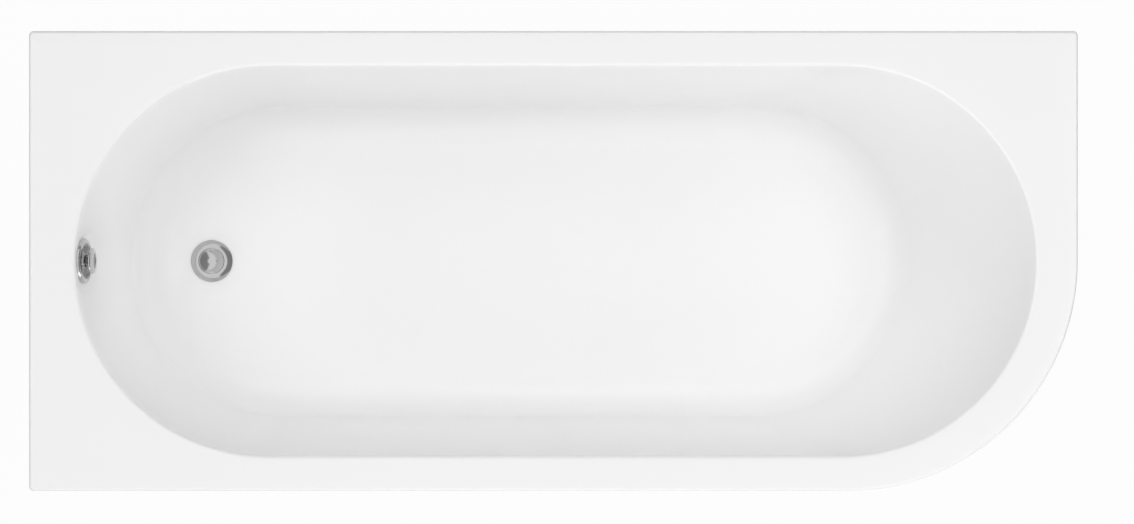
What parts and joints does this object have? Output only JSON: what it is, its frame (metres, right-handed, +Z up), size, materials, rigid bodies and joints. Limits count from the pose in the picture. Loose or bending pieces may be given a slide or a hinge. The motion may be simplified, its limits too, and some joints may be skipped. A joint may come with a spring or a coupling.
{
  "type": "shower bath with rounded corner",
  "caption": "Fitted white acrylic bath with one large rounded corner, pop-up waste, overflow knob, legs, trap and curved front panel.",
  "frame": {"origin": "plan centre of the rim, on the floor that the feet and the panel stand on", "axes": "+X towards the backrest end, +Y towards the wall along the long straight edge, +Z up"},
  "size_m": [1.7, 0.745, 0.55],
  "materials": {
    "acrylic": "smooth glossy white cast acrylic",
    "panel_acrylic": "smooth glossy white acrylic sheet",
    "laminate": "sprayed glass fibre laminate, rough",
    "chipboard": "raw chipboard",
    "batten_wood": "planed softwood",
    "zinc_steel": "bright zinc plated steel",
    "screw_steel": "zinc plated screws",
    "black_plastic": "moulded black plastic",
    "clip_plastic": "moulded clips",
    "chrome": "polished chrome plate",
    "white_plastic": "moulded white polypropylene",
    "lever_plastic": "moulded orange plastic",
    "hose_plastic": "corrugated grey hose",
    "cable_sleeve": "black cable sheath",
    "ferrule_metal": "pressed steel",
    "rubber": "moulded rubber"
  },
  "bodies": {
    "bath": {"acrylic_shell": "acrylic", "glassfibre_backing": "laminate", "base_board": "chipboard", "rim_batten_back": "batten_wood", "rim_batten_front": "batten_wood", "rim_batten_tap_end": "batten_wood", "rim_batten_head_end": "batten_wood", "wall_brackets": "zinc_steel", "wall_bracket_screws": "screw_steel", "front_panel": "panel_acrylic", "panel_clips": "clip_plastic", "crossbar_tap_end": "zinc_steel", "crossbar_head_end": "zinc_steel", "crossbar_end_caps": "black_plastic", "crossbar_screws": "screw_steel", "centre_foot_plate": "zinc_steel", "centre_plate_screws": "screw_steel", "foot_nuts": "zinc_steel", "waste_flange": "chrome", "flange_gasket": "rubber", "waste_gasket": "rubber", "waste_body": "white_plastic", "lever_seal": "rubber", "overflow_plate": "chrome", "overflow_grid": "white_plastic", "grid_screws": "screw_steel", "overflow_gasket": "rubber", "overflow_body": "white_plastic", "overflow_hose": "hose_plastic", "hose_nuts": "white_plastic", "control_cable": "cable_sleeve", "cable_ferrules": "ferrule_metal", "trap_nut": "white_plastic", "trap_washer": "rubber", "trap_body": "white_plastic", "trap_cap": "white_plastic", "trap_cap_seal": "rubber", "outlet_nut": "white_plastic", "outlet_seal": "rubber"},
    "foot_back_tap": {"stud_back_tap": "zinc_steel", "pad_back_tap": "black_plastic"},
    "foot_front_tap": {"stud_front_tap": "zinc_steel", "pad_front_tap": "black_plastic"},
    "foot_back_head": {"stud_back_head": "zinc_steel", "pad_back_head": "black_plastic"},
    "foot_front_head": {"stud_front_head": "zinc_steel", "pad_front_head": "black_plastic"},
    "foot_centre": {"stud_centre": "zinc_steel", "pad_centre": "black_plastic"},
    "knob": {"overflow_knob": "chrome", "knob_spindle": "white_plastic"},
    "plug": {"plug_cap": "chrome", "plug_seal": "rubber", "plug_stem": "white_plastic"},
    "lever": {"lift_lever": "lever_plastic", "lever_arm": "lever_plastic"}
  },
  "joints": [
    {"name": "knob_turn", "type": "hinge", "parent": "bath", "child": "knob", "pos_m": [-0.76896, 0, 0.5], "axis": [0.9877, 0, 0.1564], "range_deg": [0, 92]},
    {"name": "plug_lift", "type": "slide", "parent": "bath", "child": "plug", "axis": [0, 0, 1], "range_m": [0, 0.009]},
    {"name": "lever_swing", "type": "hinge", "parent": "bath", "child": "lever", "pos_m": [-0.577, 0, 0.101], "axis": [0, 1, 0], "range_deg": [0, 28]},
    {"name": "level_back_tap", "type": "slide", "parent": "bath", "child": "foot_back_tap", "axis": [0, 0, 1], "range_m": [-0.015, 0.015]},
    {"name": "level_front_tap", "type": "slide", "parent": "bath", "child": "foot_front_tap", "axis": [0, 0, 1], "range_m": [-0.015, 0.015]},
    {"name": "level_back_head", "type": "slide", "parent": "bath", "child": "foot_back_head", "axis": [0, 0, 1], "range_m": [-0.015, 0.015]},
    {"name": "level_front_head", "type": "slide", "parent": "bath", "child": "foot_front_head", "axis": [0, 0, 1], "range_m": [-0.015, 0.015]},
    {"name": "level_centre", "type": "slide", "parent": "bath", "child": "foot_centre", "axis": [0, 0, 1], "range_m": [-0.015, 0.015]}
  ],
  "couplings": [
    {"joint": "knob_turn", "follows": "plug_lift", "rad_per_m": 174.53},
    {"joint": "lever_swing", "follows": "plug_lift", "rad_per_m": 51.85}
  ]
}
